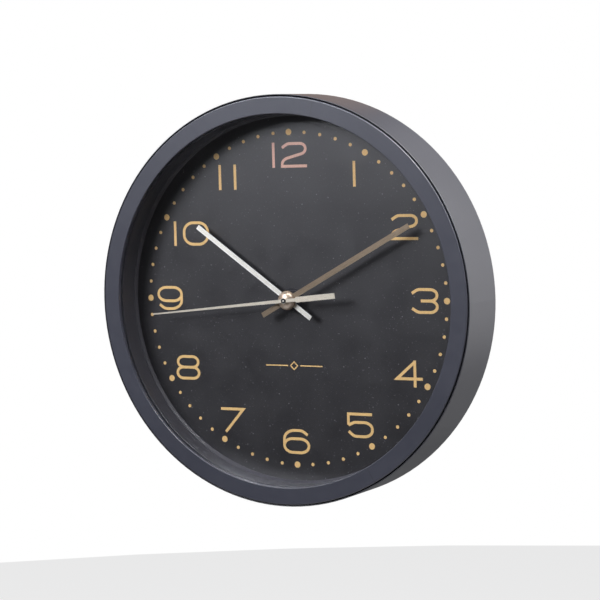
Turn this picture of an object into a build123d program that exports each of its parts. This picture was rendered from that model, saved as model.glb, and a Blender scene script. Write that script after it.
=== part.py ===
"""Round quartz wall clock, one STEP file per sub-part.

Everything is drawn in clock axes, in millimetres: x to the right, y up, z out of the wall towards
the viewer, with the wall at z = 0 and the hands turning about the z axis. The last step turns the
clock upright, so that in the saved files +Z is up and the dial faces -Y.
"""

import os
from math import atan2, cos, degrees, pi, radians, sin

from build123d import *

# overall size
CASE_D = 250.0
CASE_DEPTH = 40.0
FRONT_D = 248.6
DRUM_FRONT_Z = 39.0
DRUM_WALL = 2.0
DRUM_TIP_WALL = 0.6
DRUM_TIP_LENGTH = 4.0
DRUM_TIP_STEP = 0.8
DRUM_TAPER = 0.2
DRUM_REAR_ROUND = 1.2
DRUM_FRONT_ROUND = 0.25

# levels along the axis, from the wall
PAN_Z = 17.0
PAN_THICK = 1.8
DIAL_THICK = 0.5
DIAL_BACK = PAN_Z + PAN_THICK
DIAL_Z = DIAL_BACK + DIAL_THICK
BEZEL_FLANGE = 2.4
BEZEL_OUTER_ROUND = 0.6
BEZEL_INNER_ROUND = 0.4
GLASS_THICK = 2.0
GLASS_Z = CASE_DEPTH - BEZEL_FLANGE - GLASS_THICK

# rings
BEZEL_R = 123.0
OPENING_R = 112.7
GLASS_R = 116.0
SKIRT_R = 116.3
SKIRT_THICK = 2.0
SKIRT_LENGTH = 7.0
SPACER_R = 112.9
SPACER_TOP_R = 112.4
SPACER_WALL = 1.6
SPACER_FLANGE_R = 115.8
FOOT_R = 111.6
FOOT_HEIGHT = 2.4
FOOT_STEP = 0.6
SPACER_ROUND = 0.3
SPACER_FLANGE = 1.6
SPACER_BASE = 1.2
DIAL_R = 114.6
PAN_R = 116.2
SHELF_R = 113.2
SHELF_THICK = 2.0
RIB_RADII = (70.0, 100.0)
RIB_WIDTH = 1.5
RIB_HEIGHT = 2.0

# case screws
SCREW_COUNT = 6
SCREW_PITCH_R = 119.4
SCREW_BOSS_R = 3.0
SCREW_R = 1.2
SCREW_LENGTH = 12.0
SCREW_HEAD_R = 2.6
SCREW_HEAD_HEIGHT = 1.8
SCREW_HEAD_ROUND = 0.8
SCREW_SLOT = (2.6, 0.6, 1.6)
SCREW_HOLE_R = 1.4
SCREW_FIRST_ANGLE = 30.0

# hands: angles clockwise from twelve, heights above the dial
HOUR_ANGLE, HOUR_HEIGHT, HOUR_LENGTH, HOUR_TAIL, HOUR_WIDTH = 305.9, 6.2, 76.8, 18.6, 3.0
MINUTE_ANGLE, MINUTE_HEIGHT, MINUTE_LENGTH, MINUTE_TAIL, MINUTE_WIDTH = 61.4, 8.0, 93.3, 19.4, 3.2
SECOND_ANGLE, SECOND_HEIGHT, SECOND_LENGTH, SECOND_TAIL = 264.3, 12.4, 93.4, 34.8
HAND_THICK = 0.4
HOUR_HUB_R = 4.8
MINUTE_HUB_R = 5.9
SECOND_THICK = 0.3
SECOND_ROOT_WIDTH = 2.1
SECOND_TIP_WIDTH = 0.8
SECOND_TAIL_WIDTH = 3.4
SECOND_NECK_R = 8.0
SECOND_NECK_SLOPE = 0.6
CAP_R = 5.5
CAP_HEIGHT = 3.5
CAP_SKIRT = 0.5
CAP_SLEEVE = 1.0
CAP_HOLE_R = 1.35
CAP_LAST_ANGLE = 75.0
CAP_LIP = 0.2
SECOND_HUB_R = 1.9
BOSS_R = 1.5
BOSS_HEIGHT = 0.5
BOSS_RECESS_R = 1.0
BOSS_RECESS_FLOOR = 0.1
COLLET_WALL = 0.5
COLLET_LENGTH = 0.9
TUBE_END = 0.3
FERRULE_R = 1.05
FERRULE_DEPTH = 2.2

# concentric tubes and the bush
RUNNING = 0.05
ARBOR_R = 0.5
MINUTE_TUBE_R = 1.65
MINUTE_BORE_R = 0.8
HOUR_TUBE_R = 2.6
HOUR_BORE_R = MINUTE_TUBE_R + RUNNING
BUSH_R = 4.0
BUSH_BORE_R = HOUR_TUBE_R + RUNNING
BUSH_TOP = DIAL_Z + 4.0
THREAD_PITCH = 0.75
THREAD_DEPTH = 0.3
WASHER_THICK = 0.4
WASHER_R = 7.0
NUT_THICK = 2.2
NUT_FLATS = 11.0
HOLE_R = BUSH_R + 0.1
RUBBER_R = 9.0
RUBBER_THICK = 0.8

# movement
MOVEMENT = 56.0
MOVEMENT_TOP = PAN_Z - RUBBER_THICK
WALL = 1.2
CORNER_R = 3.0
COVER_THICK = 1.2
BATTERY_R = 7.25
BATTERY_LENGTH = 50.5
BATTERY_NUB_R = 2.7
BATTERY_NUB = 1.0
BATTERY_ROUND = 0.6
CONTACT_HALF = 4.0
CONTACT_BUMP = 1.5
CONTACT_THICK = 0.4
CONTACT_GAP = 0.1
BATTERY_Y = -19.2
BATTERY_Z = MOVEMENT_TOP - WALL - BATTERY_R - 0.1
BAY_WALL_Y = -11.7
BAY_WALL_THICK = 1.0
PLATE_Z = 10.5
PLATE_THICK = 1.0
PLATE_TOP_Y = 15.5
PIVOT_R = 0.4
PIVOT_CLEAR = 0.05
POST_R = 1.3
POST_HEIGHT = 0.8
KNOB_POST_R = 2.0
WORKS_STUD_R = 0.8
PLATE_POST_R = 1.8
PLATE_POST_INSET = 3.0
PIVOT_DEPTH = 0.6

# hanger on the movement
HANGER_WIDTH = 24.0
HANGER_TOP = 43.0
HANGER_THICK = 2.5
HANGER_CORNER_R = 8.0
HANGER_ROOT = 4.0
KEYHOLE_R = 4.2
KEYHOLE_Y = 33.5
KEYHOLE_SLOT_R = 2.1
KEYHOLE_SLOT_Y = 38.5

# wheel train: teeth and modules
ROTOR_TEETH, INTERMEDIATE_TEETH, FAST_MODULE = 8, 60, 0.2
INTERMEDIATE_PINION, SECOND_TEETH, SLOW_MODULE = 8, 32, 0.4
SECOND_PINION, THIRD_TEETH, THIRD_MODULE = 8, 60, 0.3
THIRD_PINION, CENTRE_TEETH, CENTRE_MODULE = 10, 80, 10.2 / 45
MINUTE_PINION, WORKS_TEETH, WORKS_MODULE = 12, 36, 0.3
WORKS_PINION, HOUR_TEETH, HOUR_MODULE = 10, 40, 7.2 / 25
KNOB_PINION = 12

ADDENDUM = 0.85
DEDENDUM = 1.2
TOOTH_AT_TIP = 0.14
TOOTH_AT_ROOT = 0.48
CLUTCH_STUB_R = 1.3
THIRD_SHOULDER = 0.2


def polar(distance, angle, start=(0.0, 0.0)):
    """The point at a distance and an angle, in degrees from the x axis, from a start point."""
    return (start[0] + distance * cos(radians(angle)), start[1] + distance * sin(radians(angle)))


def pair_distance(teeth_a, teeth_b, module):
    return module * (teeth_a + teeth_b) / 2


CENTRE = (0.0, 0.0)
THIRD_AXIS = polar(pair_distance(SECOND_PINION, THIRD_TEETH, THIRD_MODULE), 0)
INTERMEDIATE_AXIS = polar(pair_distance(INTERMEDIATE_PINION, SECOND_TEETH, SLOW_MODULE), 150)
ROTOR_AXIS = polar(pair_distance(ROTOR_TEETH, INTERMEDIATE_TEETH, FAST_MODULE), 120, INTERMEDIATE_AXIS)
WORKS_AXIS = polar(pair_distance(MINUTE_PINION, WORKS_TEETH, WORKS_MODULE), 60)
KNOB_AXIS = polar(pair_distance(KNOB_PINION, WORKS_TEETH, WORKS_MODULE), 60, WORKS_AXIS)

# levels of the wheels inside the movement (lowest and highest z)
HOUR_WHEEL_Z = (14.0, 14.7)
WORKS_WHEEL_Z = (13.0, 13.6)
CENTRE_WHEEL_Z = (12.0, 12.6)
THIRD_WHEEL_Z = (9.5, 10.1)
SECOND_PINION_Z = (9.3, 10.3)
ROTOR_MAGNET_Z = (7.9, 9.7)
STATOR_Z = (8.5, 9.1)
SECOND_WHEEL_Z = (7.6, 8.2)
INTERMEDIATE_PINION_Z = (7.4, 8.4)
INTERMEDIATE_WHEEL_Z = (5.8, 6.4)
ROTOR_PINION_Z = (5.6, 6.6)
REAR_PIVOT_Z = 4.4
REAR_POST_Z = 5.2
MAGNET_R = 2.8
STATOR_BORE_R = 3.3

# coil, stator and board
COIL_X = (-21.0, 1.0)
COIL_Y = 21.3
COIL_R = 3.4
COIL_CORE_HALF = 1.2
COIL_SLEEVE_R = 1.9
CORE_Z = (STATOR_Z[0] - 0.6, STATOR_Z[0])
FLANGE_THICK = 0.8
STATOR_BAR_Y = (7.6, 12.4)
STATOR_LEG = 3.0
STATOR_GAP = 0.5
STATOR_TOP_Y = COIL_Y + 2.0
STATOR_EYE = 1.3
BOARD_X = (-26.0, -15.0)
BOARD_Y = (-9.5, 16.0)
BOARD_Z = (3.6, 4.4)
CHIP_PLACE = (-20.5, 6.0)
CHIP_R = 2.6
CHIP_HEIGHT = 1.1
CHIP_ROUND = 1.0
CRYSTAL_PLACE = (-20.5, -8.0)
CRYSTAL_R = 1.0
CRYSTAL_LENGTH = 6.0

# setting knob
KNOB_R = 6.0
KNOB_Z = (0.4, 3.0)
KNOB_GROOVES = 24
KNOB_POCKET_R = 6.8
KNOB_SHAFT_R = 1.0
POCKET_FLOOR_Z = 3.3
POCKET_WALL = 1.2
GROOVE_R = 0.5
GROOVE_OFFSET = 0.25
MARK_RING = (2.6, 3.4)
MARK_DEPTH = 0.3

NODES = {}


def keep(name, shape):
    """Remembers a sub-part under its node name."""
    NODES[name] = shape


# basic shapes
def disc(radius, low, high, at=CENTRE):
    """A round plate or rod between two levels."""
    return Pos(at[0], at[1], low) * Cylinder(
        radius, high - low, align=(Align.CENTER, Align.CENTER, Align.MIN)
    )


def ring(inner, outer, low, high, at=CENTRE):
    """A round plate with a hole."""
    return disc(outer, low, high, at) - disc(inner, low - 1, high + 1, at)


def block(x, y, z):
    """A box between three pairs of limits."""
    return Pos(x[0], y[0], z[0]) * Box(
        x[1] - x[0], y[1] - y[0], z[1] - z[0], align=(Align.MIN, Align.MIN, Align.MIN)
    )


def turned(profile):
    """A solid of revolution about the z axis from a closed outline of (radius, z) corners.

    A third number in a corner is the radius that rounds it.
    """
    outline = make_face(Polyline(*[corner[:2] for corner in profile], close=True))
    for corner in profile:
        if len(corner) == 3:
            sharp = outline.vertices().sort_by_distance(Vector(corner[0], corner[1], 0))[0]
            outline = fillet(sharp, corner[2])
    return revolve(Plane.XZ * outline, Axis.Z)


def bar(length, tail, width, low, thick, angle):
    """A straight hand with square ends, pointing at an angle clockwise from twelve."""
    flat = block((-width / 2, width / 2), (-tail, length), (low, low + thick))
    return Rot(0, 0, -angle) * flat


# gears
def gear(teeth, module, levels, at, phase=0.0, bore=0.0):
    """A spur gear with straight-sided teeth, one of which is centred on the phase angle."""
    radius = module * teeth / 2
    tip = radius + ADDENDUM * module
    root = radius - DEDENDUM * module
    pitch = 360.0 / teeth
    flank = ((root, -TOOTH_AT_ROOT), (tip, -TOOTH_AT_TIP), (tip, TOOTH_AT_TIP), (root, TOOTH_AT_ROOT))
    points = []
    for tooth in range(teeth):
        middle = phase + tooth * pitch
        for reach, share in flank:
            points.append(polar(reach, middle + share * pitch / 2 * radius / reach, at))
    outline = make_face(Polyline(*points, close=True))
    body = Pos(0, 0, levels[0]) * extrude(outline, levels[1] - levels[0])
    if bore:
        body -= disc(bore, levels[0] - 1, levels[1] + 1, at)
    return body


def meshed_phase(module, teeth_a, axis_a, phase_a, teeth_b, axis_b):
    """The phase that puts a gap of gear b where a tooth of gear a meets it."""
    towards = degrees(atan2(axis_b[1] - axis_a[1], axis_b[0] - axis_a[0]))
    arc_pitch = pi * module
    offset = radians(phase_a - towards) * module * teeth_a / 2
    return towards + 180 - degrees((offset + arc_pitch / 2) / (module * teeth_b / 2))


# case
def screw_places():
    return [polar(SCREW_PITCH_R, SCREW_FIRST_ANGLE + 360 / SCREW_COUNT * i) for i in range(SCREW_COUNT)]


def case_drum():
    """The outer ring, whose wall thins to a narrow tip beside the bezel."""
    rear_r = CASE_D / 2
    front_r = FRONT_D / 2
    inner_r = rear_r - DRUM_WALL - DRUM_TAPER
    tip_z = DRUM_FRONT_Z - DRUM_TIP_LENGTH
    return turned(
        [
            (inner_r, 0.0),
            (rear_r, 0.0, DRUM_REAR_ROUND),
            (front_r, DRUM_FRONT_Z, DRUM_FRONT_ROUND),
            (front_r - DRUM_TIP_WALL, DRUM_FRONT_Z, DRUM_FRONT_ROUND),
            (front_r - DRUM_TIP_WALL, tip_z),
            (inner_r, tip_z - DRUM_TIP_STEP),
        ]
    )


def mounting_ring():
    """The flat ring inside the drum that the pan rests on and the case screws pass through."""
    outer_r = CASE_D / 2 - DRUM_WALL - DRUM_TAPER
    shelf = ring(SHELF_R, outer_r, PAN_Z - SHELF_THICK, PAN_Z)
    for place in screw_places():
        shelf -= disc(SCREW_HOLE_R, PAN_Z - SHELF_THICK - 1, PAN_Z + 1, place)
    return shelf


def front_bezel():
    """The ring round the glass, with a skirt that centres the glass and six screw bosses."""
    back = CASE_DEPTH - BEZEL_FLANGE
    bezel = turned(
        [
            (OPENING_R, back),
            (OPENING_R, CASE_DEPTH, BEZEL_INNER_ROUND),
            (BEZEL_R, CASE_DEPTH, BEZEL_OUTER_ROUND),
            (BEZEL_R, back),
            (SKIRT_R + SKIRT_THICK, back),
            (SKIRT_R + SKIRT_THICK, back - SKIRT_LENGTH),
            (SKIRT_R, back - SKIRT_LENGTH),
            (SKIRT_R, back),
        ]
    )
    for place in screw_places():
        bezel += disc(SCREW_BOSS_R, PAN_Z, back + 0.5, place) - disc(SKIRT_R, PAN_Z - 1, back)
        bezel -= disc(SCREW_R, PAN_Z - 1, PAN_Z + SCREW_LENGTH, place)
    return bezel


def spacer_ring():
    """The wall between dial and glass: a foot on the dial, a drafted wall and a flange."""
    top = GLASS_Z
    outer_r = SPACER_R + SPACER_WALL
    return turned(
        [
            (FOOT_R, DIAL_Z),
            (FOOT_R, DIAL_Z + FOOT_STEP),
            (SPACER_R - SPACER_ROUND, DIAL_Z + FOOT_HEIGHT),
            (SPACER_R, DIAL_Z + FOOT_HEIGHT),
            (SPACER_TOP_R, top, SPACER_ROUND),
            (SPACER_FLANGE_R, top),
            (SPACER_FLANGE_R, top - SPACER_FLANGE),
            (outer_r, top - SPACER_FLANGE),
            (outer_r, DIAL_Z + SPACER_BASE),
            (SPACER_FLANGE_R, DIAL_Z + SPACER_BASE),
            (SPACER_FLANGE_R, DIAL_Z),
        ]
    )


def back_pan():
    """The plate behind the dial, with a low rim round its edge and stiffening rings behind."""
    pan = disc(PAN_R, PAN_Z, DIAL_BACK) - disc(HOLE_R, PAN_Z - 1, DIAL_BACK + 1)
    pan += ring(DIAL_R + 0.1, PAN_R, DIAL_BACK, DIAL_Z)
    for radius in RIB_RADII:
        pan += ring(radius, radius + RIB_WIDTH, PAN_Z - RIB_HEIGHT, PAN_Z)
    return pan


def case_screws():
    """Six pan-head screws from the back, as separate solids in one node."""
    top = PAN_Z - SHELF_THICK
    screws = []
    for place in screw_places():
        head = disc(SCREW_HEAD_R, top - SCREW_HEAD_HEIGHT, top, place)
        head = fillet(head.edges().filter_by(GeomType.CIRCLE).group_by(Axis.Z)[0], SCREW_HEAD_ROUND)
        for turn in (0, 90):
            head -= Pos(place[0], place[1], top - SCREW_HEAD_HEIGHT) * Rot(0, 0, turn) * Box(*SCREW_SLOT)
        screws.append(head + disc(SCREW_R, top, PAN_Z + SCREW_LENGTH - 1, place))
    return Compound(children=screws)


def dial():
    return ring(HOLE_R, DIAL_R, DIAL_BACK, DIAL_Z)


def glass_lens():
    lens = disc(GLASS_R, GLASS_Z, GLASS_Z + GLASS_THICK)
    return chamfer(lens.edges().filter_by(GeomType.CIRCLE), 0.2)


# hands
def hour_hand():
    low = DIAL_Z + HOUR_HEIGHT
    hand = bar(HOUR_LENGTH, HOUR_TAIL, HOUR_WIDTH, low, HAND_THICK, HOUR_ANGLE)
    hand += disc(HOUR_HUB_R, low, low + HAND_THICK)
    hand += disc(HOUR_TUBE_R + COLLET_WALL, low - COLLET_LENGTH, low)
    return hand - disc(HOUR_TUBE_R, 0, CASE_DEPTH)


def minute_hand():
    low = DIAL_Z + MINUTE_HEIGHT
    hand = bar(MINUTE_LENGTH, MINUTE_TAIL, MINUTE_WIDTH, low, HAND_THICK, MINUTE_ANGLE)
    return hand + disc(MINUTE_HUB_R, low, low + HAND_THICK) - disc(MINUTE_TUBE_R, 0, CASE_DEPTH)


def hub_cap():
    """The polished dome on the minute hand's hub, with a hole for the second hand's ferrule."""
    low = DIAL_Z + MINUTE_HEIGHT + HAND_THICK
    dome = EllipticalCenterArc(
        (0, low + CAP_SKIRT), CAP_R, CAP_HEIGHT - CAP_SKIRT, start_angle=0, arc_size=CAP_LAST_ANGLE
    )
    crown = dome @ 1
    bore = low + CAP_SLEEVE
    inside = Polyline(
        crown,
        (CAP_HOLE_R, crown.Y - CAP_LIP),
        (CAP_HOLE_R, bore),
        (MINUTE_TUBE_R, bore),
        (MINUTE_TUBE_R, low),
        (CAP_R, low),
        dome @ 0,
    )
    return revolve(Plane.XZ * make_face(dome + inside), Axis.Z)


def second_hand():
    """A tapering pointer and a wide counterweight tail, joined by a narrow neck."""
    low = DIAL_Z + SECOND_HEIGHT
    half_root = SECOND_ROOT_WIDTH / 2
    half_tip = SECOND_TIP_WIDTH / 2
    half_tail = SECOND_TAIL_WIDTH / 2
    outline = make_face(
        Polyline(
            (-half_tip, SECOND_LENGTH),
            (half_tip, SECOND_LENGTH),
            (half_root, 0),
            (half_root, -SECOND_NECK_R),
            (half_tail, -SECOND_NECK_R - SECOND_NECK_SLOPE),
            (half_tail, -SECOND_TAIL),
            (-half_tail, -SECOND_TAIL),
            (-half_tail, -SECOND_NECK_R - SECOND_NECK_SLOPE),
            (-half_root, -SECOND_NECK_R),
            (-half_root, 0),
            close=True,
        )
    )
    plate = Pos(0, 0, low) * extrude(outline, SECOND_THICK)
    hand = Rot(0, 0, -SECOND_ANGLE) * plate + disc(SECOND_HUB_R, low, low + SECOND_THICK)
    return hand - disc(FERRULE_R, low - 1, low + 2)


def second_hand_ferrule():
    """The riveted tube that grips the arbor: a sleeve below the hand and a recessed boss above."""
    low = DIAL_Z + SECOND_HEIGHT
    top = low + SECOND_THICK
    ferrule = disc(FERRULE_R, low - FERRULE_DEPTH, top) + disc(BOSS_R, top, top + BOSS_HEIGHT)
    ferrule -= disc(BOSS_RECESS_R, top + BOSS_RECESS_FLOOR, top + 1)
    return ferrule - disc(ARBOR_R, 0, CASE_DEPTH)


# fixing
def dial_washer():
    return ring(HOLE_R, WASHER_R, DIAL_Z, DIAL_Z + WASHER_THICK)


def fixing_nut():
    low = DIAL_Z + WASHER_THICK
    across_corners = NUT_FLATS / cos(radians(30))
    nut = Pos(0, 0, low) * extrude(RegularPolygon(across_corners / 2, 6), NUT_THICK)
    return nut - disc(BUSH_R, low - 1, low + NUT_THICK + 1)


def rubber_washer():
    return ring(HOLE_R, RUBBER_R, MOVEMENT_TOP, PAN_Z)


# movement case
def rounded_block(half, low, high, corner):
    body = block((-half, half), (-half, half), (low, high))
    return fillet(body.edges().filter_by(Axis.Z), corner)


def movement_front_case():
    """The moulded box, open at the back, with the threaded bush, battery bay and wheel posts."""
    half = MOVEMENT / 2
    floor = MOVEMENT_TOP - WALL
    body = rounded_block(half, COVER_THICK, MOVEMENT_TOP, CORNER_R)
    body -= rounded_block(half - WALL, 0, floor, CORNER_R - WALL)
    bay_half = half - WALL / 2
    body += block((-bay_half, bay_half), (BAY_WALL_Y, BAY_WALL_Y + BAY_WALL_THICK), (COVER_THICK, floor))
    body += threaded_bush()
    body += disc(WORKS_STUD_R, WORKS_WHEEL_Z[0] - 0.1, floor, WORKS_AXIS)
    body += disc(POST_R, floor - POST_HEIGHT, floor, THIRD_AXIS)
    body -= disc(PIVOT_R + PIVOT_CLEAR, 0, floor, THIRD_AXIS)
    body += disc(KNOB_POST_R, floor - POST_HEIGHT, floor, KNOB_AXIS)
    body -= disc(KNOB_SHAFT_R + RUNNING, 0, floor, KNOB_AXIS)
    for x in (-half + PLATE_POST_INSET, half - PLATE_POST_INSET):
        for y in (BAY_WALL_Y + PLATE_POST_INSET, PLATE_TOP_Y - PLATE_POST_INSET + 1):
            body += disc(PLATE_POST_R, PLATE_Z + PLATE_THICK, floor + 0.1, (x, y))
    return body - disc(BUSH_BORE_R, floor - 1, BUSH_TOP + 1)


def threaded_bush():
    """The bush that holds the movement, with thread grooves on the part above the dial."""
    low = MOVEMENT_TOP - WALL
    outline = [(BUSH_BORE_R - 0.5, low), (BUSH_R, low), (BUSH_R, DIAL_Z + WASHER_THICK + NUT_THICK)]
    z = DIAL_Z + WASHER_THICK + NUT_THICK
    while z + THREAD_PITCH < BUSH_TOP:
        outline.append((BUSH_R - THREAD_DEPTH, z + THREAD_PITCH / 2))
        outline.append((BUSH_R, z + THREAD_PITCH))
        z += THREAD_PITCH
    outline += [(BUSH_R - THREAD_DEPTH, BUSH_TOP), (BUSH_BORE_R - 0.5, BUSH_TOP)]
    return turned(outline)


def movement_back_cover():
    """The flat back with the hanger and its keyhole, the battery window and the knob's pocket."""
    half = MOVEMENT / 2
    cover = rounded_block(half, 0, COVER_THICK, CORNER_R)
    hanger_half = HANGER_WIDTH / 2
    hanger = block((-hanger_half, hanger_half), (half - HANGER_ROOT, HANGER_TOP), (0, HANGER_THICK))
    hanger = fillet(hanger.edges().filter_by(Axis.Z).group_by(Axis.Y)[-1], HANGER_CORNER_R)
    hanger -= block((-half, half), (0, half + 0.1), (COVER_THICK, PAN_Z))
    cover += hanger
    cover -= disc(KEYHOLE_R, -1, HANGER_THICK + 1, (0, KEYHOLE_Y))
    cover -= disc(KEYHOLE_SLOT_R, -1, HANGER_THICK + 1, (0, KEYHOLE_SLOT_Y))
    slot_x = (-KEYHOLE_SLOT_R, KEYHOLE_SLOT_R)
    cover -= block(slot_x, (KEYHOLE_Y, KEYHOLE_SLOT_Y), (-1, HANGER_THICK + 1))
    bay = half - WALL
    cover -= block((-bay, bay), (-bay, BAY_WALL_Y), (-1, COVER_THICK + 1))
    cover += disc(KNOB_POCKET_R + POCKET_WALL, 0, POCKET_FLOOR_Z + 1, KNOB_AXIS)
    cover -= disc(KNOB_POCKET_R, -1, POCKET_FLOOR_Z, KNOB_AXIS)
    cover -= disc(KNOB_SHAFT_R + RUNNING, -1, POCKET_FLOOR_Z + 2, KNOB_AXIS)
    for axis in (CENTRE, THIRD_AXIS, INTERMEDIATE_AXIS, ROTOR_AXIS):
        cover += disc(POST_R, COVER_THICK - 0.1, REAR_POST_Z, axis)
        cover -= disc(PIVOT_R + PIVOT_CLEAR, REAR_PIVOT_Z - 0.1, REAR_POST_Z + 1, axis)
    return cover


def movement_plate():
    """The plate between the motion work and the wheel train."""
    half = MOVEMENT / 2 - WALL - 0.2
    low, high = PLATE_Z, PLATE_Z + PLATE_THICK
    plate = block((-half, half), (BAY_WALL_Y + BAY_WALL_THICK + 0.1, PLATE_TOP_Y), (low, high))
    plate -= disc(ARBOR_R + RUNNING, low - 1, high + 1)
    plate -= disc(ARBOR_R + RUNNING, low - 1, high + 1, THIRD_AXIS)
    plate -= disc(KNOB_SHAFT_R + RUNNING, low - 1, high + 1, KNOB_AXIS)
    for axis in (INTERMEDIATE_AXIS, ROTOR_AXIS):
        plate -= disc(PIVOT_R + PIVOT_CLEAR, low - 1, low + PIVOT_DEPTH + 0.1, axis)
    return plate


# wheels
def wheel_phases():
    """The phase angle of every gear that must mesh with another at rest; the rest have phase 0."""
    works = meshed_phase(WORKS_MODULE, MINUTE_PINION, CENTRE, 0.0, WORKS_TEETH, WORKS_AXIS)
    return {
        "intermediate_pinion": meshed_phase(
            SLOW_MODULE, SECOND_TEETH, CENTRE, 0.0, INTERMEDIATE_PINION, INTERMEDIATE_AXIS
        ),
        "rotor": meshed_phase(
            FAST_MODULE, INTERMEDIATE_TEETH, INTERMEDIATE_AXIS, 0.0, ROTOR_TEETH, ROTOR_AXIS
        ),
        "third_wheel": meshed_phase(THIRD_MODULE, SECOND_PINION, CENTRE, 0.0, THIRD_TEETH, THIRD_AXIS),
        "centre_wheel": meshed_phase(CENTRE_MODULE, THIRD_PINION, THIRD_AXIS, 0.0, CENTRE_TEETH, CENTRE),
        "works_wheel": works,
        "hour_wheel": meshed_phase(HOUR_MODULE, WORKS_PINION, WORKS_AXIS, 0.0, HOUR_TEETH, CENTRE),
        "knob_pinion": meshed_phase(WORKS_MODULE, WORKS_TEETH, WORKS_AXIS, works, KNOB_PINION, KNOB_AXIS),
    }


def hour_wheel(phases):
    tube = disc(HOUR_TUBE_R, HOUR_WHEEL_Z[0], DIAL_Z + HOUR_HEIGHT + HAND_THICK + TUBE_END)
    wheel = gear(HOUR_TEETH, HOUR_MODULE, HOUR_WHEEL_Z, CENTRE, phases["hour_wheel"])
    return wheel + tube - disc(HOUR_BORE_R, 0, CASE_DEPTH)


def minute_tube():
    """The cannon pinion: a tube with a pinion, and a stub below it that carries the centre wheel."""
    top = DIAL_Z + MINUTE_HEIGHT + HAND_THICK + TUBE_END + 0.2
    tube = disc(MINUTE_TUBE_R, WORKS_WHEEL_Z[1], top)
    collar = disc(MINUTE_TUBE_R, CENTRE_WHEEL_Z[1] + 0.05, WORKS_WHEEL_Z[0])
    stub = disc(CLUTCH_STUB_R, CENTRE_WHEEL_Z[0] - 0.2, CENTRE_WHEEL_Z[1] + 0.1)
    pinion = gear(MINUTE_PINION, WORKS_MODULE, WORKS_WHEEL_Z, CENTRE)
    return tube + collar + stub + pinion - disc(MINUTE_BORE_R, 0, CASE_DEPTH)


def spoked(wheel, rim_r, hub_r, levels, at):
    """Cuts four round windows in a wheel, between its hub and its rim."""
    window = (rim_r - hub_r) / 2
    for quarter in range(4):
        middle = polar((rim_r + hub_r) / 2, 45 + 90 * quarter, at)
        wheel -= disc(window, levels[0] - 1, levels[1] + 1, middle)
    return wheel


def centre_wheel(phases):
    bore = CLUTCH_STUB_R + RUNNING
    wheel = gear(CENTRE_TEETH, CENTRE_MODULE, CENTRE_WHEEL_Z, CENTRE, phases["centre_wheel"], bore)
    return spoked(wheel, 7.6, 2.4, CENTRE_WHEEL_Z, CENTRE)


def second_wheel():
    """The seconds arbor, which runs from the back cover to the second hand, with its wheel."""
    arbor = disc(ARBOR_R, SECOND_WHEEL_Z[1], DIAL_Z + SECOND_HEIGHT + SECOND_THICK + TUBE_END)
    arbor += disc(PIVOT_R, REAR_PIVOT_Z, SECOND_WHEEL_Z[0])
    wheel = gear(SECOND_TEETH, SLOW_MODULE, SECOND_WHEEL_Z, CENTRE)
    wheel = spoked(wheel, 5.2, 1.6, SECOND_WHEEL_Z, CENTRE)
    hub = disc(1.0, SECOND_WHEEL_Z[1], SECOND_PINION_Z[0])
    pinion = gear(SECOND_PINION, THIRD_MODULE, SECOND_PINION_Z, CENTRE)
    return arbor + wheel + hub + pinion


def third_wheel(phases):
    arbor = disc(PIVOT_R, REAR_PIVOT_Z, MOVEMENT_TOP - WALL - 0.05, THIRD_AXIS)
    arbor += disc(ARBOR_R, THIRD_WHEEL_Z[1], CENTRE_WHEEL_Z[1] + THIRD_SHOULDER, THIRD_AXIS)
    wheel = gear(THIRD_TEETH, THIRD_MODULE, THIRD_WHEEL_Z, THIRD_AXIS, phases["third_wheel"])
    wheel = spoked(wheel, 7.4, 2.0, THIRD_WHEEL_Z, THIRD_AXIS)
    levels = (CENTRE_WHEEL_Z[0] - THIRD_SHOULDER, CENTRE_WHEEL_Z[1] + THIRD_SHOULDER)
    return arbor + wheel + gear(THIRD_PINION, CENTRE_MODULE, levels, THIRD_AXIS)


def intermediate_wheel(phases):
    arbor = disc(PIVOT_R, REAR_PIVOT_Z, PLATE_Z + PIVOT_DEPTH, INTERMEDIATE_AXIS)
    arbor += disc(0.7, INTERMEDIATE_WHEEL_Z[1], INTERMEDIATE_PINION_Z[0], INTERMEDIATE_AXIS)
    wheel = gear(INTERMEDIATE_TEETH, FAST_MODULE, INTERMEDIATE_WHEEL_Z, INTERMEDIATE_AXIS)
    wheel = spoked(wheel, 5.0, 1.4, INTERMEDIATE_WHEEL_Z, INTERMEDIATE_AXIS)
    phase = phases["intermediate_pinion"]
    pinion = gear(INTERMEDIATE_PINION, SLOW_MODULE, INTERMEDIATE_PINION_Z, INTERMEDIATE_AXIS, phase)
    return arbor + wheel + pinion


def rotor_pinion(phases):
    shaft = disc(PIVOT_R, REAR_PIVOT_Z, PLATE_Z + PIVOT_DEPTH, ROTOR_AXIS)
    shaft += disc(1.2, ROTOR_PINION_Z[1], ROTOR_MAGNET_Z[0], ROTOR_AXIS)
    return shaft + gear(ROTOR_TEETH, FAST_MODULE, ROTOR_PINION_Z, ROTOR_AXIS, phases["rotor"])


def rotor_magnet():
    return ring(PIVOT_R, MAGNET_R, *ROTOR_MAGNET_Z, ROTOR_AXIS)


def minute_works_wheel(phases):
    wheel = gear(WORKS_TEETH, WORKS_MODULE, WORKS_WHEEL_Z, WORKS_AXIS, phases["works_wheel"])
    levels = (WORKS_WHEEL_Z[1], HOUR_WHEEL_Z[1])
    pinion = gear(WORKS_PINION, HOUR_MODULE, levels, WORKS_AXIS)
    return wheel + pinion - disc(WORKS_STUD_R + RUNNING, 0, CASE_DEPTH, WORKS_AXIS)


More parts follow.
